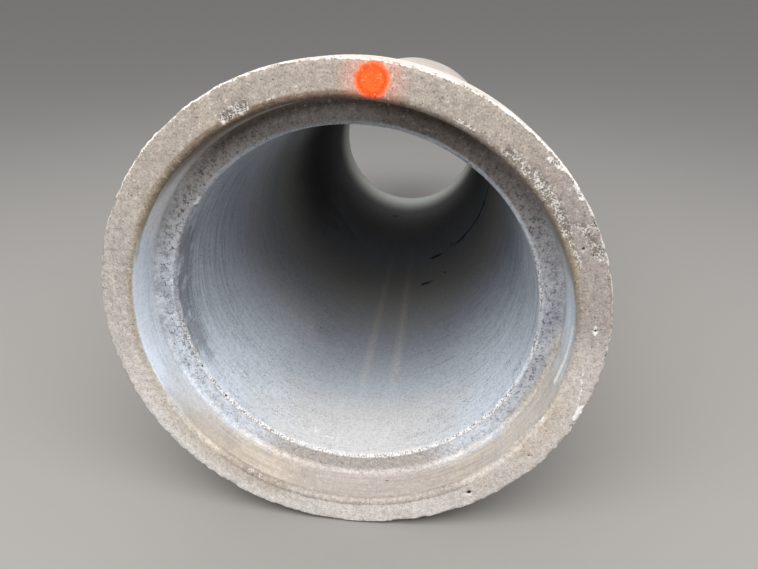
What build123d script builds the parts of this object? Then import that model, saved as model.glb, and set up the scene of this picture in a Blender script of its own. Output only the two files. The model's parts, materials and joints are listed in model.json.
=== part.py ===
"""Precast concrete culvert pipe, one casting with a bell at one end and a tongue at the other.

The pipe is drawn along +Y with its bell face at Y = 0, as a half section of the wall that is
turned about the axis. It is then laid down as it rests on a level floor: on the back corner
of the bell and the outer edge of the barrel's far end. The origin is on the floor, under the
middle of the pipe. All sizes are in millimetres and degrees.
"""
from build123d import *
from math import asin, atan2, degrees, hypot, radians, tan
import os

# Barrel: the bore and the wall round it
bore_diameter = 762.0
wall = 70.0

# Length that one pipe adds to a laid line of pipes
laying_length = 2438.4

# Socket: the recess that takes the next pipe's tongue, with a flat shoulder at its bottom
socket_depth = 88.0
shoulder_width = 48.0
joint_slope_angle = 3.25

# Bell: the ring round the socket, then a straight land and a slope down to the barrel
bell_wall = 66.0
bell_land_length = 125.0
bell_slope_angle = 30.0

# Joint: room left round the tongue for mortar or mastic, and at each of its ends
joint_side_gap = 7.0
joint_end_gap = 8.0

# Rounded corners
mouth_lip_radius = 11.0
bell_crest_radius = 40.0
bell_foot_radius = 60.0
tongue_tip_radius = 8.0

# Bevelled corners
arris_bevel = 3.0
bore_edge_bevel = 5.0
barrel_end_bevel = 5.0
inside_corner_bevel = 4.0

# Sizes that follow
bore_radius = bore_diameter / 2
barrel_radius = bore_radius + wall
joint_narrowing = socket_depth * tan(radians(joint_slope_angle))
socket_bottom_radius = bore_radius + shoulder_width
socket_mouth_radius = socket_bottom_radius + joint_narrowing
bell_radius = socket_mouth_radius + bell_wall
bell_slope_length = (bell_radius - barrel_radius) / tan(radians(bell_slope_angle))
tongue_length = socket_depth
tongue_root_radius = socket_mouth_radius - joint_side_gap
tongue_end_radius = tongue_root_radius - joint_narrowing
overall_length = laying_length + tongue_length - joint_end_gap
barrel_end = overall_length - tongue_length

# Corners of the half section: distance from the bell face, distance from the axis, how it is
# broken and by how much
corners = [
    (0, socket_mouth_radius, fillet, mouth_lip_radius),
    (0, bell_radius, chamfer, arris_bevel),
    (bell_land_length, bell_radius, fillet, bell_crest_radius),
    (bell_land_length + bell_slope_length, barrel_radius, fillet, bell_foot_radius),
    (barrel_end, barrel_radius, chamfer, barrel_end_bevel),
    (barrel_end, tongue_root_radius, chamfer, inside_corner_bevel),
    (overall_length, tongue_end_radius, fillet, tongue_tip_radius),
    (overall_length, bore_radius, chamfer, bore_edge_bevel),
    (socket_depth, bore_radius, chamfer, bore_edge_bevel),
    (socket_depth, socket_bottom_radius, chamfer, inside_corner_bevel),
]


def wall_section():
    """Half section of the wall in the YZ plane, with every corner rounded or bevelled."""
    with BuildSketch(Plane.YZ) as section:
        with BuildLine():
            Polyline(*[(along, out) for along, out, _, _ in corners], close=True)
        make_face()
        for along, out, break_corner, amount in corners:
            corner = section.vertices().sort_by_distance((along, out))[0]
            break_corner(corner, amount)
    return section.sketch


def rest_angle():
    """Slope of the floor line that touches the bell's back corner and the barrel's far edge.

    The line is tangent to the rounded crest behind the bell's land, whose arc has its centre
    one radius inside the bell, and passes through the start of the bevel at the far end.
    """
    half_turn = radians(bell_slope_angle) / 2
    crest_along = bell_land_length - bell_crest_radius * tan(half_turn)
    crest_out = bell_radius - bell_crest_radius
    edge_along = barrel_end - barrel_end_bevel
    run = edge_along - crest_along
    rise = crest_out - barrel_radius
    return degrees(atan2(rise, run) + asin(bell_crest_radius / hypot(run, rise)))


def lay_down(pipe):
    """Tip the pipe onto its two supports and put the origin on the floor under its middle."""
    lying = Rot(-rest_angle(), 0, 0) * pipe
    box = lying.bounding_box()
    return Pos(0, -box.center().Y, -box.min.Z) * lying


culvert_pipe = lay_down(revolve(wall_section(), axis=Axis.Y))

os.makedirs("parts", exist_ok=True)
export_step(culvert_pipe, "parts/culvert_pipe.step")
print(f"overall length {overall_length:.1f}, bell diameter {2 * bell_radius:.1f}")
print(f"rest angle {rest_angle():.3f} degrees")
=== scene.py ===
"""Looks of the concrete culvert pipe: one weathered casting, a pale floor, soft light and the camera.

Lengths are in metres. A place on the pipe is given in the pipe's own frame: a clock angle in
degrees, clockwise from the top as seen from the bell's end, a distance from the pipe's axis
(out) and a distance behind the bell face (along). The pipe's own X points right, its Y along
the pipe and its Z up.
"""
import json
from collections import namedtuple
from math import cos, pi, radians, sin, tan

import bpy
import numpy as np
from mathutils import Euler, Matrix, Vector, noise


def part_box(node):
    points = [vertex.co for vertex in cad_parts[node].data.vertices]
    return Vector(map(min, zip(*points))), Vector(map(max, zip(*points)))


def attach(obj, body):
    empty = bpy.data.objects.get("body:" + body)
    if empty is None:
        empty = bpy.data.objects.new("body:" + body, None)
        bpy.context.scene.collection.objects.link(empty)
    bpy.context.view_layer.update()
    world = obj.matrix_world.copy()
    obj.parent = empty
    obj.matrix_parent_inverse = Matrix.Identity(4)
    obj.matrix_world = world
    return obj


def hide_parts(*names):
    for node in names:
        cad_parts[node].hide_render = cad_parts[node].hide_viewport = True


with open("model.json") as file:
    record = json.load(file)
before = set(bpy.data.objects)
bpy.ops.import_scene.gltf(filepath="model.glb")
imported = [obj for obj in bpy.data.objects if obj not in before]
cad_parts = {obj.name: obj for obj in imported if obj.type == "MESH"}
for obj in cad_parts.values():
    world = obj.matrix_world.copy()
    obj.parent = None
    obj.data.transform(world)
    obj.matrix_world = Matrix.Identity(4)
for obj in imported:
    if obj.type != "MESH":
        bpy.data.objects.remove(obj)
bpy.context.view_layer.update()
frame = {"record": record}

# Sizes from the frame
mounts = {mount["name"]: mount for mount in frame["record"]["mounts"]}
face_centre = Vector(mounts["socket"]["pos_m"])
pipe_axis = Vector(mounts["tongue"]["axis"])
bore_radius = mounts["bore"]["dims"]["r_mm"] / 1000
barrel_radius = mounts["barrel_outside"]["dims"]["r_mm"] / 1000
overall_length = (Vector(mounts["tongue"]["pos_m"]) - face_centre).length
bell_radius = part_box("culvert_pipe")[1].x

# The pipe's own frame, with its origin at the middle of the bell face
right = Vector((1, 0, 0))
PIPE = Matrix((right, pipe_axis, right.cross(pipe_axis))).transposed().to_4x4()
PIPE.translation = face_centre

# Sizes of the joint and the bell
socket_depth = 0.088
socket_mouth_radius = 0.434
joint_slope_angle = 3.25
joint_side_gap = 0.007
bell_land_length = 0.125
bell_slope_angle = 30

# Rounded and bevelled corners
mouth_lip_radius = 0.011
bell_crest_radius = 0.040
bell_foot_radius = 0.060
tongue_tip_radius = 0.008
arris_bevel = 0.003
bore_edge_bevel = 0.005
barrel_end_bevel = 0.005
inside_corner_bevel = 0.004

# Sizes that follow
joint_narrowing = socket_depth * tan(radians(joint_slope_angle))
socket_bottom_radius = socket_mouth_radius - joint_narrowing
bell_end = bell_land_length + (bell_radius - barrel_radius) / tan(radians(bell_slope_angle))
tongue_root_radius = socket_mouth_radius - joint_side_gap
tongue_end_radius = tongue_root_radius - joint_narrowing
barrel_end = overall_length - socket_depth

# Points in a ring of the mesh, and the places along the bore from which it is coarser
FINE = 960
MEDIUM = 480
COARSE = 240
bore_medium_from = 0.25
bore_coarse_from = 0.50

# A corner of the wall's section: its place, the radius of its round or the size of its bevel,
# and the steps across it. Then the stretch from there to the next corner: its zone, the
# distance from ring to ring and the points in a ring.
Corner = namedtuple("Corner", "along out round bevel steps zone spacing points")
SECTION = [
    Corner(0, bell_radius, 0, arris_bevel, 3, "face", 0.0040, FINE),
    Corner(0, socket_mouth_radius, mouth_lip_radius, 0, 5, "socket", 0.0055, MEDIUM),
    Corner(socket_depth, socket_bottom_radius, 0, inside_corner_bevel, 2, "shoulder", 0.0055, FINE),
    Corner(socket_depth, bore_radius, 0, bore_edge_bevel, 4, "bore", 0.011, MEDIUM),
    Corner(bore_medium_from, bore_radius, 0, 0, 0, "bore", 0.018, MEDIUM),
    Corner(bore_coarse_from, bore_radius, 0, 0, 0, "bore", 0.045, COARSE),
    Corner(overall_length, bore_radius, 0, bore_edge_bevel, 2, "outside", 0.007, MEDIUM),
    Corner(overall_length, tongue_end_radius, tongue_tip_radius, 0, 3, "outside", 0.010, MEDIUM),
    Corner(barrel_end, tongue_root_radius, 0, inside_corner_bevel, 1, "outside", 0.005, MEDIUM),
    Corner(barrel_end, barrel_radius, 0, barrel_end_bevel, 2, "outside", 0.045, COARSE),
    Corner(bell_end, barrel_radius, bell_foot_radius, 0, 4, "outside", 0.015, MEDIUM),
    Corner(bell_land_length, bell_radius, bell_crest_radius, 0, 3, "outside", 0.014, MEDIUM),
]

# Marks of wear seen on the pipe: the kind, the first and last place as (clock, out, along)
# with lengths in millimetres, half the width in millimetres and the strength
Mark = namedtuple("Mark", "kind start end half_width strength")
MARK_KINDS = ("chip", "scuff", "worn", "pit")
MARKS = [
    Mark("chip", (-26.8, 449, 0), (-21.5, 453, 0), 9, 1.15),
    Mark("chip", (38, 448, 0), (47, 450, 0), 8, 0.95),
    Mark("chip", (46, 451, 0), (61, 449, 0), 10, 1.0),
    Mark("chip", (61, 473, 0), (69, 486, 0), 8, 1.0),
    Mark("chip", (63, 447, 0), (70, 450, 0), 4, 0.8),
    Mark("chip", (61.4, 494, 0), (62.2, 493, 0), 5, 1.0),
    Mark("chip", (107, 497, 0), (113, 497, 0), 5, 1.0),
    Mark("chip", (-152, 437, 2), (-147.6, 437, 2), 6, 0.8),
    Mark("chip", (117, 384, 88), (118, 384, 88), 4, 1.0),
    Mark("scuff", (-54.2, 385, 88), (-52.5, 385, 88), 4, 2.0),
    Mark("scuff", (-52.8, 480, 0), (-52.5, 494, 0), 2.5, 1.1),
    Mark("scuff", (-16.2, 448, 0), (-14.2, 449, 0), 3.5, 0.6),
    Mark("scuff", (24.5, 446, 0), (29.5, 446, 0), 3, 0.85),
    Mark("scuff", (45.5, 487, 0), (49, 496, 0), 6, 0.9),
    Mark("scuff", (52.6, 497, 0), (56, 492, 0), 5, 0.9),
    Mark("scuff", (86.2, 470, 0), (87.2, 470, 0), 6, 1.0),
    Mark("scuff", (87.5, 433, 23), (105, 432, 38), 5.5, 1.7),
    Mark("scuff", (97.2, 461, 0), (107.7, 481, 0), 2.5, 0.9),
    Mark("scuff", (107.5, 492, 0), (110.5, 494, 0), 8, 2.2),
    Mark("scuff", (114, 434, 5), (126, 433, 16), 3, 0.7),
    Mark("scuff", (-172, 381, 133), (-157, 381, 157), 9, 0.55),
    Mark("worn", (-90, 381, 98), (-78, 381, 98), 5, 0.6),
    Mark("worn", (-79, 381, 98), (-66, 381, 98), 7, 0.9),
    Mark("worn", (-67, 381, 97), (-57, 381, 97), 5, 0.7),
    Mark("pit", (66.0, 463, 0), (66.2, 463, 0), 3, 0.9),
    Mark("pit", (68.3, 476, 0), (68.5, 476, 0), 3, 0.8),
    Mark("pit", (86.6, 470, 0), (86.8, 470, 0), 3, 0.9),
    Mark("pit", (125.8, 467, 0), (126, 467, 0), 3, 0.8),
    Mark("pit", (145.7, 466, 0), (146, 466, 0), 4.5, 1.0),
    Mark("pit", (169.8, 431, 61), (170, 431, 61), 4, 0.8),
    Mark("pit", (-114.3, 383, 89), (-114, 383, 89), 3, 0.9),
    Mark("pit", (-127.8, 383, 90), (-127.5, 383, 90), 3, 0.9),
]

# Wear of the skin all over: its depth, its unevenness and the size of its bumps
skin_wear = 0.0002
skin_unevenness = 0.0004
skin_bump_size = 0.09

# Sand grain near the bell: its depth, its size and where it ends behind the bell face
grain_wear = 0.0003
grain_size = 0.007
grain_end = 0.12

# Depths of the marks
chip_depth = 0.0022
chip_unevenness = 0.0030
pit_depth = 0.0035
rubbed_depth = 0.003

# Edges worn ragged: the place in the section, how far the wear reaches, its least and most
# depth, and the size of its bumps
Edge = namedtuple("Edge", "along out reach least most grain")
WORN_EDGES = [
    Edge(0, bell_radius, 0.009, 0.0006, 0.0032, 0.011),
    Edge(socket_depth, bore_radius, 0.007, 0.0002, 0.0030, 0.006),
    Edge(overall_length, bore_radius, 0.012, 0.0005, 0.0030, 0.015),
    Edge(barrel_end, barrel_radius, 0.014, 0.0005, 0.0045, 0.020),
]

# Sizes of the noises that colour and relief share: slow drifts of tone, patches of dirt, lumps
# of stone, grit of sand, and the lines that the form left round the pipe
drift_size = 0.12
patch_size = 0.035
lump_size = 0.010
grit_size = 0.0036
line_spacing = 0.007

# How far the drift moves the ends of a stretch round the pipe, in radians
clock_wander = 0.5

# Small dark spots in the bore: clock angle, place along it, and half their width round the
# bore and along it
Spot = namedtuple("Spot", "clock along half_round half_along")
SPOTS = [
    Spot(-171, 2.076, 0.013, 0.013),
    Spot(140.5, 1.40, 0.010, 0.010),
    Spot(146, 1.111, 0.006, 0.006),
    Spot(-150, 0.62, 0.004, 0.004),
    Spot(122, 0.55, 0.004, 0.004),
    Spot(152.5, 1.345, 0.032, 0.018),
    Spot(158, 1.08, 0.028, 0.012),
]

# Two pale streaks along the bottom of the bore: clock angle and half the width in degrees
STREAKS = ((-176.4, 3.2), (170.2, 3.6))

# The crack round the bore: its place along it, how far it wanders and half its width
crack_along = 1.36
crack_wander = 0.10
crack_half_width = 0.017

# The dot of marking paint on the face
dot_radius = 0.0295
dot_clock = radians(6.4)
dot_out = 0.466
dot_centre = (dot_out * sin(dot_clock), 0, dot_out * cos(dot_clock))

# Camera as it stood for the photograph: its place in the pipe's frame, its turn to the left,
# its dip and its focal length for the picture's width
camera_place = Vector((0.1611, -0.9408, 0.5153))
camera_turn = radians(5.93)
camera_dip = radians(23.52)
focal_length = 26.16
sensor_width = 36.0

# Light: the sky's colour, its brightness near the horizon and overhead, and the lamps' power in watts
sky_colour = (0.93, 0.96, 1.0, 1)
sky_low = 0.6
sky_high = 0.9
front_power = 460
back_power = 54

# Floor: flat to this distance, then curved up over a run to a height, in steps, with points round it
floor_flat = 4.0
floor_run = 12.0
floor_height = 4.5
floor_steps = 16
floor_points = 96


def tone(red, green, blue):
    """A colour as linear values, from levels of 0 to 255 as they look on a screen."""
    levels = [level / 255 for level in (red, green, blue)]
    return (*[((v + 0.055) / 1.055) ** 2.4 if v > 0.04045 else v / 12.92 for v in levels], 1)


def unit(vector):
    return vector / np.linalg.norm(vector)


def corner_rings(before, corner, after):
    """Places across a rounded or bevelled corner of the section, or the corner itself."""
    middle = np.array([corner.along, corner.out])
    back = unit(np.array([before.along, before.out]) - middle)
    ahead = unit(np.array([after.along, after.out]) - middle)
    shares = np.linspace(0, 1, corner.steps + 1)[:, None]
    if corner.bevel:
        return middle + corner.bevel * (back * (1 - shares) + ahead * shares)
    if corner.round:
        half = np.arccos(back @ ahead) / 2
        centre = middle + unit(back + ahead) * corner.round / np.sin(half)
        start = middle + back * corner.round / np.tan(half) - centre
        end = middle + ahead * corner.round / np.tan(half) - centre
        turn = pi - 2 * half
        return centre + (np.sin((1 - shares) * turn) * start + np.sin(shares * turn) * end) / np.sin(turn)
    return middle[None, :]


def section_rings():
    """Every ring of the pipe's surface: its place in the section, its zone and its points."""
    count = len(SECTION)
    corners = [corner_rings(SECTION[i - 1], SECTION[i], SECTION[(i + 1) % count]) for i in range(count)]
    places = []
    zones = []
    points = []
    for i, corner in enumerate(SECTION):
        start = corners[i][-1]
        end = corners[(i + 1) % count][0]
        steps = max(1, round(np.linalg.norm(end - start) / corner.spacing))
        between = start + (end - start) * (np.arange(1, steps) / steps)[:, None]
        places += [*corners[i], *between]
        zones += [corner.zone] * (len(corners[i]) + len(between))
        points += [max(corner.points, SECTION[i - 1].points)] * len(corners[i])
        points += [corner.points] * len(between)
    return np.array(places), zones, points


class Surface:
    """Every vertex of the pipe: its place, the way into the concrete and its zone."""

    def __init__(self):
        places, zones, self.points = section_rings()
        run = np.roll(places, -1, 0) - np.roll(places, 1, 0)
        into = np.stack([-run[:, 1], run[:, 0]], 1)
        into /= np.linalg.norm(into, axis=1)[:, None]
        self.along, self.out = np.repeat(places, self.points, 0).T
        self.into_along, self.into_out = np.repeat(into, self.points, 0).T
        self.zone = np.repeat(zones, self.points)
        self.clock = np.concatenate([np.arange(n) * 360 / n for n in self.points])
        self.clock = (self.clock + 180) % 360 - 180
        self.first = np.concatenate([[0], np.cumsum(self.points)])

    def places(self, depth=0):
        """Where the vertices are in the pipe's frame, with the surface worn down by depth."""
        out = self.out + self.into_out * depth
        along = self.along + self.into_along * depth
        turn = np.radians(self.clock)
        return np.stack([out * np.sin(turn), along, out * np.cos(turn)], 1)

    def faces(self):
        """Faces from each ring to the next, and from the last back to the first."""
        made = []
        for i, here in enumerate(self.points):
            after = (i + 1) % len(self.points)
            made += strip(self.first[i], here, self.first[after], self.points[after])
        return made


def strip(first, here, second, there):
    """Faces between two rings, where one may have twice the points of the other."""
    cells = min(here, there)
    faces = []
    for k in range(cells):
        if here == there:
            after = (k + 1) % cells
            faces.append((first + k, second + k, second + after, first + after))
            continue
        fine = [2 * k, 2 * k + 1, (2 * k + 2) % (2 * cells)]
        coarse = [k, (k + 1) % cells]
        if here > there:
            a, b, c = (first + j for j in fine)
            d, e = (second + j for j in coarse)
            faces += [(a, d, b), (b, d, e), (b, e, c)]
        else:
            a, b, c = (second + j for j in fine)
            d, e = (first + j for j in coarse)
            faces += [(d, a, b), (d, b, e), (e, b, c)]
    return faces


def roughness_field(places, size, seed):
    """Smooth noise from about -1 to 1 over the places, with bumps of the given size."""
    shift = Vector((seed * 7.3, seed * 3.1, seed * 5.7))
    return np.array([noise.noise(Vector(place) / size + shift) for place in places])


def fade(value, near, far):
    """1 up to near, 0 past far, and smooth between them."""
    share = np.clip((far - value) / (far - near), 0, 1)
    return share * share * (3 - 2 * share)


def nearness(surface, place, near, far):
    """1 within the near distance of a place in the section, 0 past the far one."""
    return fade(np.hypot(surface.along - place[0], surface.out - place[1]), near, far)


def distance_to(surface, mark):
    """Distance of every vertex from the arc between a mark's two places."""
    start = np.array(mark.start, float)
    end = np.array(mark.end, float)
    turned = (surface.clock - start[0] + 180) % 360 - 180
    span = end[0] - start[0]
    share = np.clip(turned / span, 0, 1)
    past = np.radians(turned - share * span) * surface.out
    out = (start[1] + share * (end[1] - start[1])) / 1000
    along = (start[2] + share * (end[2] - start[2])) / 1000
    return np.sqrt(past**2 + (surface.out - out) ** 2 + (surface.along - along) ** 2)


def mark_masks(surface):
    """For each kind of mark, how strong it is at every vertex."""
    masks = {kind: np.zeros(len(surface.out)) for kind in MARK_KINDS}
    for mark in MARKS:
        reach = distance_to(surface, mark) / (mark.half_width / 1000)
        masks[mark.kind] = np.maximum(masks[mark.kind], mark.strength * fade(reach, 0.3, 1.7))
    return masks


def zone_masks(surface):
    """How far each vertex belongs to each zone, with the face and the shoulder running onto the wall."""
    masks = {zone: (surface.zone == zone).astype(float) for zone in ("face", "socket", "shoulder", "bore")}
    # On the left of the mouth the face's colour ends sooner
    left = fade(np.abs(surface.clock + 98), 24, 50)
    masks["face"] += masks["socket"] * fade(surface.along, 0.004 - 0.002 * left, 0.016 - 0.009 * left)
    masks["shoulder"] += masks["socket"] * fade(socket_depth - surface.along, 0.0, 0.026)
    masks["socket"] *= 1 - masks["face"]
    return masks


def edge_masks(surface):
    """How near each vertex is to the corners that dirt and wear follow."""
    mouth = (mouth_lip_radius / 2, socket_mouth_radius + mouth_lip_radius / 2)
    on_face = nearness(surface, mouth, 0.010, 0.045)
    on_wall = nearness(surface, mouth, 0.018, 0.050)
    return {
        "lip": nearness(surface, mouth, 0.004, 0.015),
        "mouth": np.where(surface.zone == "face", on_face, on_wall),
        "nook": nearness(surface, (socket_depth, socket_bottom_radius), 0.005, 0.017),
        "arris": nearness(surface, (0, bell_radius), 0.001, 0.007),
        "bore_edge": nearness(surface, (socket_depth, bore_radius), 0.003, 0.011),
    }


def edge_wear(surface, edge, seed):
    """Depth worn off round an edge of the section, ragged along its length."""
    away = np.hypot(surface.along - edge.along, surface.out - edge.out)
    near = away < edge.reach
    depth = np.zeros(len(away))
    turn = np.radians(surface.clock[near])
    rim = np.stack([edge.out * np.sin(turn), np.full(len(turn), edge.along), edge.out * np.cos(turn)], 1)
    fine = roughness_field(rim, edge.grain, seed)
    broad = roughness_field(rim, edge.grain * 4, seed + 1)
    ragged = edge.least + (edge.most - edge.least) * np.clip(0.35 + 0.9 * fine + 0.8 * broad, 0, 1.3)
    depth[near] = ragged * fade(away[near], edge.reach * 0.15, edge.reach)
    return depth


def worn_depth(surface, masks):
    """How far each vertex is worn or broken into the concrete."""
    places = surface.places()
    depth = skin_wear + skin_unevenness * (1 + roughness_field(places, skin_bump_size, 1))
    near_bell = surface.along < grain_end
    grain = np.zeros(len(depth))
    grain[near_bell] = roughness_field(places[near_bell], grain_size, 2)
    depth += grain_wear * np.clip(grain, 0, 1)
    # The skin and the grain have the first two seeds, and each edge takes two more
    for i, edge in enumerate(WORN_EDGES):
        depth += edge_wear(surface, edge, 3 + 2 * i)
    broken = chip_depth + chip_unevenness * np.clip(0.4 + grain, 0, 1.2)
    depth += masks["chip"] * broken + masks["pit"] * pit_depth + masks["worn"] * rubbed_depth
    return depth


class Nodes:
    """Adds nodes to a node tree; each call gives back an output of the new node."""

    def __init__(self, tree):
        self.tree = tree
        tree.nodes.clear()

    def put(self, value, socket):
        """Link an output to a socket, or give the socket a plain value."""
        if isinstance(value, bpy.types.NodeSocket):
            self.tree.links.new(value, socket)
        else:
            socket.default_value = value

    def add(self, kind, inputs=(), **settings):
        node = self.tree.nodes.new(kind)
        for name, value in settings.items():
            setattr(node, name, value)
        for name, value in dict(inputs).items():
            self.put(value, node.inputs[name])
        return node

    def maths(self, operation, *values):
        return self.add("ShaderNodeMath", enumerate(values), operation=operation).outputs[0]

    def chain(self, operation, values):
        """One operation over several values, from the first to the last."""
        result = values[0]
        for value in values[1:]:
            result = self.maths(operation, result, value)
        return result

    def times(self, *values):
        return self.chain("MULTIPLY", values)

    def plus(self, *values):
        return self.chain("ADD", values)

    def either(self, *values):
        """The greatest of several values."""
        return self.chain("MAXIMUM", values)

    def less(self, *values):
        """1 less the product of the values."""
        return self.maths("SUBTRACT", 1.0, self.times(*values))

    def attribute(self, name):
        return self.add("ShaderNodeAttribute", attribute_name=name).outputs["Fac"]

    def step(self, value, low, high):
        """0 at low, 1 at high and smooth between them. High may be the lower one."""
        inputs = {"Value": value, "From Min": low, "From Max": high}
        return self.add("ShaderNodeMapRange", inputs, interpolation_type="SMOOTHSTEP").outputs["Result"]

    def bump_at(self, value, middle, half_width):
        """1 at the middle, falling to 0 on both sides of it."""
        return self.step(self.maths("ABSOLUTE", self.maths("SUBTRACT", value, middle)), half_width, 0.0)

    def noise(self, place, size, detail, rough):
        """Noise from 0 to 1 with bumps of the given size."""
        inputs = {"Vector": place, "Scale": 1 / size, "Detail": detail, "Roughness": rough}
        return self.add("ShaderNodeTexNoise", inputs).outputs["Fac"]

    def mix(self, share, first, second):
        node = self.add("ShaderNodeMix", data_type="RGBA")
        self.put(share, node.inputs[0])
        self.put(first, node.inputs[6])
        self.put(second, node.inputs[7])
        return node.outputs[2]

    def scaled(self, vector, x, y, z):
        """A place or colour with each of its three parts times a factor of its own."""
        return self.add("ShaderNodeVectorMath", {0: vector, 1: (x, y, z)}, operation="MULTIPLY").outputs[0]

    def sized(self, vector, factor):
        """A place or colour times one factor."""
        return self.add("ShaderNodeVectorMath", {0: vector, "Scale": factor}, operation="SCALE").outputs[0]

    def distance(self, first, second):
        """The distance between two places."""
        ends = {0: first, 1: second}
        return self.add("ShaderNodeVectorMath", ends, operation="DISTANCE").outputs["Value"]


class Places:
    """Where a point of the surface is, and the few noises that the material's zones share."""

    def __init__(self, nodes):
        self.nodes = nodes
        to_pipe = PIPE.inverted()
        coordinates = nodes.add("ShaderNodeTexCoord").outputs["Object"]
        turn = {"Vector": coordinates, "Location": to_pipe.translation, "Rotation": to_pipe.to_euler()}
        self.pipe = nodes.add("ShaderNodeMapping", turn).outputs[0]
        split = nodes.add("ShaderNodeSeparateXYZ", {0: self.pipe}).outputs
        self.along = split["Y"]
        across = nodes.add("ShaderNodeCombineXYZ", {"X": split["X"], "Z": split["Z"]}).outputs[0]
        self.out = nodes.add("ShaderNodeVectorMath", {0: across}, operation="LENGTH").outputs["Value"]
        towards = nodes.add("ShaderNodeVectorMath", {0: across}, operation="NORMALIZE").outputs[0]
        sides = nodes.add("ShaderNodeSeparateXYZ", {0: towards}).outputs
        self.up = sides["Z"]
        self.clock = nodes.maths("ARCTAN2", sides["X"], self.up)
        lengthwise = nodes.add("ShaderNodeCombineXYZ", {"Y": self.along}).outputs[0]
        around = nodes.sized(towards, bore_radius)
        self.wrapped = nodes.add("ShaderNodeVectorMath", {0: around, 1: lengthwise}).outputs[0]
        self.drift = nodes.noise(self.pipe, drift_size, 2, 0.6)
        self.patch = nodes.noise(self.pipe, patch_size, 3, 0.6)
        self.lump = nodes.noise(self.pipe, lump_size, 2, 0.6)
        self.grit = nodes.noise(self.pipe, grit_size, 2, 0.7)
        self.lines = nodes.noise(nodes.scaled(self.wrapped, 0.05, 1.0, 0.05), line_spacing, 3, 0.65)
        self.ragged = nodes.maths("MULTIPLY_ADD", nodes.plus(self.lump, self.grit), 1.0, -1.0)
        self.clumps = nodes.maths("MULTIPLY_ADD", self.grit, 0.6, self.lump)

    def wandering(self, value, amount):
        """A value that the drift moves up and down by up to half the amount."""
        centred = self.nodes.maths("SUBTRACT", value, amount / 2)
        return self.nodes.maths("MULTIPLY_ADD", self.drift, amount, centred)

    def window(self, first, last, soft=0.12):
        """1 between two clock angles in degrees, with wandering soft ends."""
        clock = self.wandering(self.clock, clock_wander)
        rising = self.nodes.step(clock, radians(first) - soft, radians(first) + soft)
        falling = self.nodes.step(clock, radians(last) + soft, radians(last) - soft)
        return self.nodes.times(rising, falling)

    def height(self, low, high, wander=0.4):
        """0 below one height and 1 above the other, as shares of the radius, with a wandering edge."""
        return self.nodes.step(self.wandering(self.up, wander), low, high)

    def where(self, mask, low, high):
        """Where a mask of the mesh is strong, with a ragged edge."""
        nodes = self.nodes
        return nodes.step(nodes.maths("MULTIPLY_ADD", self.ragged, 1.6, nodes.attribute(mask)), low, high)


def face_colour(nodes, at):
    """Tan, sandy concrete with greyer patches, browner at the top and paler towards the bottom."""
    patches = nodes.step(at.patch, 0.36, 0.66)
    tan_tone = nodes.mix(patches, tone(156, 149, 142), tone(146, 139, 134))
    pale_tone = nodes.mix(patches, tone(189, 184, 179), tone(180, 174, 169))
    brown_tone = nodes.mix(patches, tone(151, 142, 133), tone(142, 134, 126))
    tan_tone = nodes.mix(at.height(0.35, 0.80), tan_tone, brown_tone)
    colour = nodes.mix(at.height(0.40, -0.70), tan_tone, pale_tone)
    colour = nodes.mix(nodes.times(at.window(92, 150, 0.2), 0.5), colour, tone(162, 154, 148))
    return nodes.mix(nodes.times(at.window(47, 90), 0.75), colour, tone(136, 128, 123))


def socket_colour(nodes, at):
    """Pale grey-blue wall with lines round it, brown at the top and dusty at the bottom. Painted light
    makes its upper sides paler, and its left side behind the lip, over the wall's own pale blue; a painted
    shadow darkens its upper right.
    """
    streaks = nodes.step(at.lines, 0.32, 0.68)
    grey = nodes.mix(streaks, tone(180, 186, 194), tone(201, 208, 216))
    # Painted light: the upper sides of the wall are made paler where the bell's top shades them.
    grey = nodes.mix(nodes.times(nodes.step(at.up, 0.2, 0.6), 0.8), grey, tone(217, 216, 218))
    grey = nodes.mix(nodes.times(nodes.step(at.up, 0.62, 0.80), 0.8), grey, tone(148, 140, 132))
    # Partly the wall's own pale blue and partly painted light: paler behind the lip on the left, where the
    # rounded lip turns away from the light.
    behind_lip_pale_and_lit = nodes.times(nodes.attribute("mouth"), at.window(-122, -66), 0.75)
    grey = nodes.mix(behind_lip_pale_and_lit, grey, tone(212, 219, 230))
    grey = nodes.mix(at.height(-0.20, -0.55, 0.3), grey, tone(178, 177, 177))
    # Painted shadow: the upper right of the wall takes a dark tone as the lip's shadow.
    grey = nodes.mix(nodes.times(at.window(8, 74, 0.2), 0.85), grey, tone(136, 129, 124))
    dust = nodes.mix(streaks, tone(143, 135, 129), tone(155, 148, 142))
    return nodes.mix(at.height(-0.50, -0.85, 0.2), grey, dust)


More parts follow.
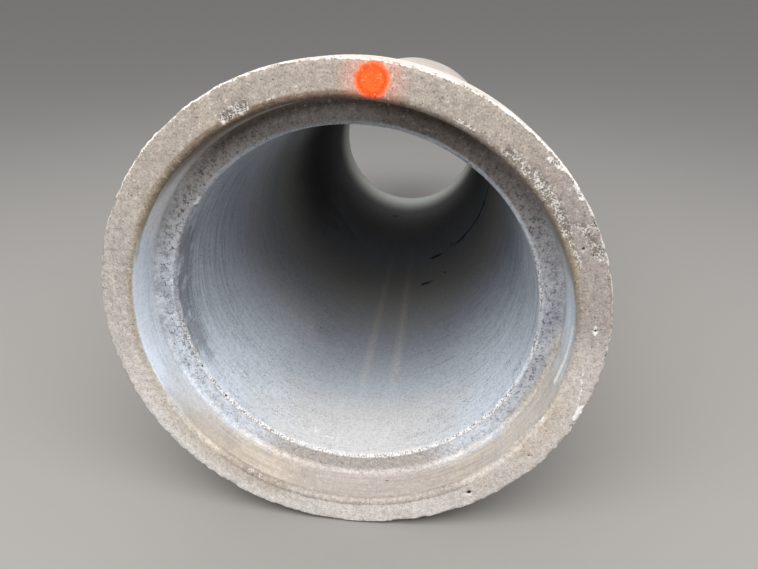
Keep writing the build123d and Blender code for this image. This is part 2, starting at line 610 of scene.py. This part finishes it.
def shoulder_colour(nodes, at):
    """Grey with small dark worm-like marks and brown at the top. Painted shade darkens its right side and
    its upper right, and it is darkest under the top lip, partly from dirt and partly from painted shade.
    """
    grey = nodes.mix(nodes.step(at.patch, 0.35, 0.65), tone(160, 163, 169), tone(188, 192, 198))
    lower_sides = nodes.times(nodes.step(at.up, -0.05, -0.45), 0.6)
    grey = nodes.mix(lower_sides, grey, tone(184, 188, 195))
    colour = nodes.mix(nodes.times(at.height(0.10, 0.8), 0.9), grey, tone(162, 157, 154))
    # Painted shade: the right side of the shoulder is darker, where the bell's right side shades it.
    colour = nodes.mix(nodes.times(at.window(20, 128), 0.4), colour, tone(124, 122, 125))
    # Painted shade at the upper right of the shoulder.
    shaded_upper_right = nodes.times(at.window(8, 62), nodes.step(at.up, 0.3, 0.7), 0.45)
    colour = nodes.mix(shaded_upper_right, colour, tone(120, 108, 101))
    # Partly dirt and partly painted shade: darkest at the outer edge under the top lip, where the lip
    # shades it.
    dirt_and_shade_under_lip = nodes.times(nodes.step(at.out, 0.405, 0.424), at.window(-44, 33, 0.2), 0.66)
    colour = nodes.mix(dirt_and_shade_under_lip, colour, tone(74, 60, 50))
    specks = nodes.step(at.clumps, 0.74, 0.64)
    inner = nodes.step(nodes.maths("MULTIPLY_ADD", at.drift, 0.03, at.out), 0.446, 0.420)
    specks = nodes.times(specks, at.height(-0.80, -0.2), inner, nodes.step(at.up, 1.05, 0.60), 0.75)
    colour = nodes.mix(specks, colour, tone(104, 103, 106))
    return nodes.mix(nodes.step(at.up, -0.78, -0.95), colour, tone(158, 152, 147))


def bore_colour(nodes, at):
    """Smooth formed concrete, grey-blue with fine lines round it and dust along the bottom."""
    grey = nodes.mix(nodes.step(at.lines, 0.3, 0.7), tone(158, 163, 171), tone(184, 190, 198))
    lower_sides = nodes.times(nodes.step(at.up, 0.05, -0.50), 0.6)
    grey = nodes.mix(lower_sides, grey, nodes.mix(at.lump, tone(180, 187, 196), tone(204, 210, 218)))
    dusty = nodes.mix(nodes.step(at.along, 0.22, 0.38), tone(173, 172, 171), tone(170, 174, 180))
    colour = nodes.mix(at.height(-0.55, -0.98, 0.25), grey, dusty)
    for layer in (bore_flecks, bore_painted_light_and_shade, bore_streaks):
        colour = layer(nodes, at, colour)
    return colour


def bore_flecks(nodes, at, colour):
    """Dark flecks in patches, and a mottled band just inside the left edge."""
    flecks = nodes.maths("MULTIPLY_ADD", at.lines, 0.5, at.grit)
    flecked = nodes.times(nodes.step(flecks, 0.72, 0.58), nodes.step(at.patch, 0.34, 0.60))
    flecked = nodes.times(flecked, nodes.step(at.up, -1.20, -0.80), 0.65)
    colour = nodes.mix(flecked, colour, tone(114, 117, 124))
    inside_edge = nodes.times(at.window(-114, -60), nodes.step(at.along, 0.19, 0.13))
    mottled = nodes.times(inside_edge, nodes.step(at.patch, 0.30, 0.52), 0.6)
    return nodes.mix(mottled, colour, tone(108, 110, 116))


def bore_painted_light_and_shade(nodes, at, colour):
    """Paler and dustier past the first half metre, as painted light, dark further in as painted shade, and
    pale at the far end as painted light.
    """
    pale_tone = nodes.mix(nodes.step(at.along, 0.45, 0.75), tone(206, 208, 212), tone(206, 201, 193))
    # Painted light: paler on the left and all round, from about half a metre to one and a half metres in,
    # where light from the mouth fades.
    painted_light_left = nodes.times(nodes.bump_at(at.along, 0.65, 0.45), at.window(-148, -35, 0.3), 0.55)
    painted_light_round = nodes.times(nodes.bump_at(at.along, 1.05, 0.5), 0.8)
    colour = nodes.mix(nodes.either(painted_light_left, painted_light_round), colour, pale_tone)
    # Painted shade: darker further in, and from about a metre in on the left and top, where little light
    # reaches.
    painted_shade_left = nodes.times(nodes.step(at.along, 0.9, 1.6), at.window(-138, 30, 0.55))
    painted_shade_deep = nodes.either(nodes.step(at.along, 1.35, 1.90), painted_shade_left)
    colour = nodes.mix(nodes.times(painted_shade_deep, 0.8), colour, tone(96, 89, 84))
    # Painted light: paler near the far end, where light comes in through the far opening.
    return nodes.mix(nodes.step(at.along, 2.16, 2.42), colour, tone(196, 197, 190))


def bore_streaks(nodes, at, colour):
    """Two pale streaks along the bottom, where water runs."""
    ends = nodes.times(nodes.step(at.along, 0.26, 0.60), nodes.step(at.along, 1.7, 1.0))
    ends = nodes.times(ends, nodes.step(at.patch, 0.20, 0.50))
    for clock, half_width in STREAKS:
        streak = nodes.times(nodes.bump_at(at.clock, radians(clock), radians(half_width)), ends)
        colour = nodes.mix(streak, colour, nodes.scaled(colour, 1.24, 1.18, 1.11))
    return colour


def outside_colour(nodes, at):
    """Pale formed concrete, greyer lower down, with the form's rings clearest on top of the far half."""
    pale = nodes.mix(nodes.step(at.drift, 0.35, 0.65), tone(167, 159, 151), tone(182, 174, 166))
    grey = nodes.mix(nodes.step(at.patch, 0.35, 0.65), tone(142, 137, 130), tone(164, 158, 151))
    colour = nodes.mix(at.height(0.70, -0.30, 0.9), pale, grey)
    far_top = nodes.times(at.window(-22, 56, 0.35), nodes.step(at.along, 0.8, 1.5))
    clear = nodes.maths("MULTIPLY_ADD", far_top, 0.50, 0.22)
    rings = nodes.times(nodes.step(at.lines, 0.56, 0.34), nodes.step(at.patch, 0.35, 0.60), clear, 0.55)
    colour = nodes.mix(rings, colour, tone(118, 109, 100))
    bands = nodes.noise(nodes.scaled(at.wrapped, 0.08, 1.0, 0.08), 0.028, 1, 0.5)
    return nodes.mix(nodes.times(nodes.step(bands, 0.50, 0.36), clear, 0.5), colour, tone(132, 119, 106))


def washes(nodes, at, colour):
    """Brown and tan dirt that water has spread round the mouth, over the wall and the face's edge; in the
    corner between the wall and the shoulder it is also painted shade.
    """
    lower_left = nodes.times(nodes.attribute("mouth"), at.window(-162, -118), 0.60)
    colour = nodes.mix(lower_left, colour, tone(156, 147, 135))
    near_lip = nodes.times(nodes.attribute("mouth"), 0.9)
    # In the corner between the wall and the shoulder the wash is also painted shade, darkening a bright
    # line there.
    near_lip = nodes.either(nodes.attribute("socket"), near_lip, nodes.attribute("nook"))
    left = nodes.times(at.window(-156, -126), 0.75)
    sides = nodes.either(left, nodes.times(at.window(97, 148), 0.85))
    patches = nodes.step(nodes.plus(at.patch, at.drift, at.lines), 1.15, 1.65)
    tan_wash = nodes.mix(nodes.step(at.lines, 0.20, 0.80), tone(160, 147, 132), tone(182, 173, 160))
    return nodes.mix(nodes.times(near_lip, sides, patches, 0.85), colour, tan_wash)


def lip_stain_and_shade(nodes, at, colour):
    """Brown and olive dirt on the rounded mouth of the socket, with painted shade that makes it darkest at
    the top, a broad painted shadow band on the upper sides, and painted shade on its bottom.
    """
    narrow = nodes.step(nodes.maths("MULTIPLY_ADD", at.patch, 0.5, nodes.attribute("lip")), 0.40, 0.95)
    narrow = nodes.times(narrow, nodes.less(at.window(-140, -70), 0.95))
    narrow = nodes.times(narrow, nodes.less(at.window(79, 145), 0.95))
    narrow = nodes.times(narrow, nodes.less(at.window(10, 50), nodes.attribute("face"), 0.75))
    narrow = nodes.times(narrow, nodes.maths("MULTIPLY_ADD", at.height(-0.60, 0.2, 0.3), 0.20, 0.62))
    face_side = nodes.times(nodes.attribute("lip"), nodes.attribute("face"), at.window(-116, -50), 0.55)
    # Painted shadow: a broad brown band on the upper sides of the lip, partly dirt.
    sides = nodes.either(nodes.times(at.window(-54, -12), 0.7), at.window(46, 75))
    wide_stain_and_shadow = nodes.times(nodes.attribute("mouth"), nodes.less(nodes.attribute("face")), sides, 0.85)
    # Painted shade: the stain is darkest at the top, and darker again on the bottom of the lip, where it
    # tones down a highlight.
    stain_and_shade = nodes.mix(nodes.step(at.up, 0.4, 0.98), tone(142, 132, 115), tone(106, 90, 76))
    stain_and_shade = nodes.mix(nodes.step(at.up, -0.3, -0.7), stain_and_shade, tone(122, 111, 102))
    return nodes.mix(nodes.either(narrow, face_side, wide_stain_and_shadow), colour, stain_and_shade)


def sprayed_dot(nodes, at, colour):
    """A round dot of orange marking paint, sprayed on the top of the face."""
    away = nodes.distance(at.pipe, dot_centre)
    ragged = nodes.maths("MULTIPLY_ADD", at.ragged, 0.010, away)
    haze = nodes.times(nodes.step(ragged, dot_radius * 2.4, dot_radius * 0.9), 0.30)
    ring = nodes.times(nodes.bump_at(away, dot_radius * 0.72, dot_radius * 0.16), 0.8)
    middle = nodes.step(away, dot_radius, dot_radius * 0.75)
    orange = nodes.mix(middle, tone(222, 116, 88), tone(228, 94, 42))
    orange = nodes.mix(ring, orange, tone(216, 74, 30))
    colour = nodes.mix(haze, colour, tone(214, 132, 112))
    return nodes.mix(nodes.step(ragged, dot_radius * 1.08, dot_radius * 0.92), colour, orange)


def crack(nodes, at, colour):
    """A thin dark crack round the lower right of the bore, past its middle."""
    line = nodes.maths("MULTIPLY_ADD", at.drift, crack_wander, crack_along - crack_wander / 2)
    thin = nodes.bump_at(nodes.maths("SUBTRACT", at.along, line), 0.0, crack_half_width)
    start = nodes.step(at.clock, radians(70), radians(95))
    end = nodes.step(at.clock, radians(150), radians(128))
    broken = nodes.times(start, end, nodes.step(at.lump, 0.30, 0.45), nodes.attribute("bore"))
    return nodes.mix(nodes.times(thin, broken), colour, tone(20, 18, 17))


def dark_spots(nodes, at, colour):
    """Small dark spots in the bore, too small for the mesh."""
    for spot in SPOTS:
        turn = radians(spot.clock)
        shrink = (1 / spot.half_round, 1 / spot.half_along, 1 / spot.half_round)
        centre = np.array([bore_radius * sin(turn), spot.along, bore_radius * cos(turn)]) * shrink
        away = nodes.distance(nodes.scaled(at.pipe, *shrink), centre.tolist())
        ragged = nodes.maths("MULTIPLY_ADD", at.ragged, 1.5, away)
        colour = nodes.mix(nodes.times(nodes.step(ragged, 1.3, 0.4), 0.85), colour, tone(40, 37, 36))
    return colour


def speckled(nodes, at, colour):
    """Sand grain over every zone: fine light and dark specks, and separate dark grains."""
    rough_zones = nodes.either(nodes.attribute("face"), nodes.attribute("shoulder"))
    strength = nodes.maths("MULTIPLY_ADD", rough_zones, 0.60, 0.65)
    both = nodes.maths("MULTIPLY_ADD", at.lump, 0.7, nodes.maths("SUBTRACT", at.grit, 0.85))
    factor = nodes.maths("MULTIPLY_ADD", nodes.times(both, strength), 0.9, 1.0)
    dark = nodes.times(nodes.step(at.grit, 0.36, 0.26), rough_zones)
    return nodes.sized(colour, nodes.maths("MULTIPLY_ADD", dark, -0.4, factor))


def broken_colour(nodes, at, colour):
    """Chips that show pale aggregate with dark gaps, white scuffs, and the white outer edge, partly pale
    broken stone and partly a painted highlight that is stronger at the top.
    """
    crumbs = nodes.maths("MULTIPLY_ADD", at.lump, 0.6, at.grit)
    aggregate = nodes.mix(nodes.step(crumbs, 0.72, 0.98), tone(104, 98, 92), tone(198, 193, 189))
    chipped = nodes.times(at.where("chip", 0.25, 1.00), nodes.step(at.patch, 0.18, 0.42), 0.85)
    colour = nodes.mix(chipped, colour, aggregate)
    colour = nodes.mix(nodes.times(at.where("scuff", 0.45, 1.2), 0.75), colour, tone(224, 223, 221))
    here_and_there = nodes.times(nodes.step(at.drift, 0.32, 0.62), 0.5)
    # Painted highlight: the white edge is stronger towards the top, partly over pale broken stone.
    white = nodes.maths("MULTIPLY_ADD", nodes.step(at.up, 0.50, 0.80), 0.45, here_and_there)
    return nodes.mix(nodes.times(at.where("arris", 0.35, 0.80), white), colour, tone(226, 221, 214))


def bore_edge_colour(nodes, at, colour):
    """Dark, white and rusty crumbs along the edge of the bore, rubbed places and small holes."""
    crumbs = nodes.mix(nodes.step(at.grit, 0.40, 0.58), tone(88, 82, 76), tone(212, 209, 206))
    crumbs = nodes.mix(nodes.times(nodes.step(at.lump, 0.56, 0.66), 0.7), crumbs, tone(146, 124, 104))
    uneven = nodes.times(nodes.step(at.patch, 0.34, 0.56), nodes.less(at.window(-88, -48), 0.9))
    uneven = nodes.times(uneven, nodes.less(at.height(0.2, 0.6), 0.85))
    colour = nodes.mix(nodes.times(at.where("bore_edge", 0.50, 0.90), uneven, 0.80), colour, crumbs)
    colour = nodes.mix(nodes.times(at.where("worn", 0.30, 1.00), 0.60), colour, tone(100, 101, 104))
    return nodes.mix(nodes.step(nodes.attribute("pit"), 0.45, 0.75), colour, tone(52, 46, 42))


def surface_height(nodes, at):
    """Height of the fine relief in metres: sand grain, lines round the bore and broken stone."""
    inside = nodes.either(nodes.attribute("bore"), nodes.attribute("socket"))
    grain = nodes.times(at.grit, nodes.maths("MULTIPLY_ADD", inside, -0.0004, 0.0007))
    breaks = nodes.either(nodes.attribute("chip"), nodes.attribute("arris"), nodes.attribute("bore_edge"))
    stone = nodes.times(at.clumps, breaks, 0.003)
    return nodes.plus(grain, nodes.times(at.lump, 0.0007), nodes.times(at.lines, 0.00025), stone)


ZONE_COLOURS = {
    "face": face_colour,
    "socket": socket_colour,
    "shoulder": shoulder_colour,
    "bore": bore_colour,
}
LAYERS = (washes, lip_stain_and_shade, sprayed_dot, crack, dark_spots, speckled, broken_colour, bore_edge_colour)


def concrete():
    """The pipe's one material: plain concrete, with its zones, stains, breaks and paint."""
    material = bpy.data.materials.new("weathered_concrete")
    material.use_nodes = True
    nodes = Nodes(material.node_tree)
    at = Places(nodes)
    colour = outside_colour(nodes, at)
    for zone, zone_colour in ZONE_COLOURS.items():
        colour = nodes.mix(nodes.attribute(zone), colour, zone_colour(nodes, at))
    for layer in LAYERS:
        colour = layer(nodes, at, colour)
    relief = {"Height": surface_height(nodes, at), "Distance": 1.0, "Strength": 0.8}
    bump = nodes.add("ShaderNodeBump", relief).outputs[0]
    dull = nodes.add("ShaderNodeMapRange", {"Value": at.drift, "To Min": 0.82, "To Max": 0.98}).outputs[0]
    surface = {"Base Color": colour, "Roughness": dull, "Normal": bump, "Specular IOR Level": 0.3}
    shader = nodes.add("ShaderNodeBsdfPrincipled", surface)
    nodes.add("ShaderNodeOutputMaterial", {"Surface": shader.outputs[0]})
    return material


def new_mesh(name, vertices, faces, material):
    """A smooth mesh object with one material, in the scene."""
    mesh = bpy.data.meshes.new(name)
    mesh.from_pydata(vertices, [], faces)
    mesh.polygons.foreach_set("use_smooth", [True] * len(mesh.polygons))
    mesh.materials.append(material)
    made = bpy.data.objects.new(name, mesh)
    bpy.context.scene.collection.objects.link(made)
    return made


def pipe_casting():
    """The whole pipe as one mesh, worn and broken as the real one is."""
    surface = Surface()
    masks = mark_masks(surface)
    worn = surface.places(worn_depth(surface, masks))
    vertices = worn @ np.array(PIPE.to_3x3()).T + np.array(PIPE.translation)
    piece = new_mesh("pipe_casting", vertices.tolist(), surface.faces(), concrete())
    masks.update(zone_masks(surface))
    masks.update(edge_masks(surface))
    for name, values in masks.items():
        attribute = piece.data.attributes.new(name, "FLOAT", "POINT")
        attribute.data.foreach_set("value", values.astype(np.float32))
    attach(piece, "root")
    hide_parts("culvert_pipe")


def pale_floor():
    """The floor's material: plain matt grey."""
    material = bpy.data.materials.new("pale_floor")
    material.use_nodes = True
    shader = material.node_tree.nodes["Principled BSDF"]
    shader.inputs["Base Color"].default_value = tone(127, 124, 120)
    shader.inputs["Roughness"].default_value = 0.9
    return material


def studio_floor():
    """A plain pale floor that curves up into a wall all round, far from the pipe."""
    rises = np.linspace(0, pi / 2, floor_steps)
    rings = [(floor_flat + floor_run * np.sin(turn), floor_height * (1 - np.cos(turn))) for turn in rises]
    turns = np.linspace(0, 2 * pi, floor_points, endpoint=False)
    vertices = [(0, 0, 0)] + [(out * np.cos(t), out * np.sin(t), z) for out, z in rings for t in turns]
    faces = [(0, 1 + k, 1 + (k + 1) % floor_points) for k in range(floor_points)]
    for ring in range(floor_steps - 1):
        here = 1 + ring * floor_points
        there = here + floor_points
        for k in range(floor_points):
            after = (k + 1) % floor_points
            faces.append((here + k, there + k, there + after, here + after))
    made = new_mesh("studio_floor", vertices, faces, pale_floor())


def area_light(name, place, target, width, depth, power):
    """A soft lamp that the camera doesn't see."""
    lamp = bpy.data.lights.new(name, "AREA")
    lamp.shape = "RECTANGLE"
    lamp.size = width
    lamp.size_y = depth
    lamp.energy = power
    made = bpy.data.objects.new(name, lamp)
    made.location = place
    made.rotation_mode = "QUATERNION"
    made.rotation_quaternion = (Vector(target) - Vector(place)).to_track_quat("-Z", "Y")
    made.visible_camera = False
    bpy.context.scene.collection.objects.link(made)


def sky():
    """A cloudy sky, brighter overhead."""
    world = bpy.data.worlds.new("sky")
    world.use_nodes = True
    nodes = Nodes(world.node_tree)
    towards = nodes.add("ShaderNodeTexCoord").outputs["Generated"]
    height = nodes.step(nodes.add("ShaderNodeSeparateXYZ", {0: towards}).outputs["Z"], 0.05, 0.75)
    levels = {"Value": height, "To Min": sky_low, "To Max": sky_high}
    brightness = nodes.add("ShaderNodeMapRange", levels).outputs[0]
    background = nodes.add("ShaderNodeBackground", {"Color": sky_colour, "Strength": brightness})
    nodes.add("ShaderNodeOutputWorld", {"Surface": background.outputs[0]})
    bpy.context.scene.world = world


def light():
    """Soft light as under a cloudy sky, from above and in front of the bell, and from behind."""
    sky()
    area_light("front_lamp", (0.2, -3.4, 4.1), (0, -1.0, 0.4), width=9.5, depth=2.8, power=front_power)
    area_light("back_lamp", (-1.2, 3.3, 4.6), (0, 1.1, 0.4), width=4.0, depth=3.0, power=back_power)
    bpy.context.scene.view_settings.view_transform = "Standard"
    bpy.context.scene.view_settings.look = "Medium High Contrast"


def camera():
    """The camera where it stood for the photograph."""
    lens = bpy.data.cameras.new("camera")
    lens.lens = focal_length
    lens.sensor_width = sensor_width
    made = bpy.data.objects.new("camera", lens)
    turn = Euler((pi / 2 - camera_dip, 0, camera_turn)).to_matrix().to_4x4()
    made.matrix_world = PIPE @ Matrix.Translation(camera_place) @ turn
    bpy.context.scene.collection.objects.link(made)
    bpy.context.scene.camera = made


pipe_casting()
studio_floor()
light()
camera()
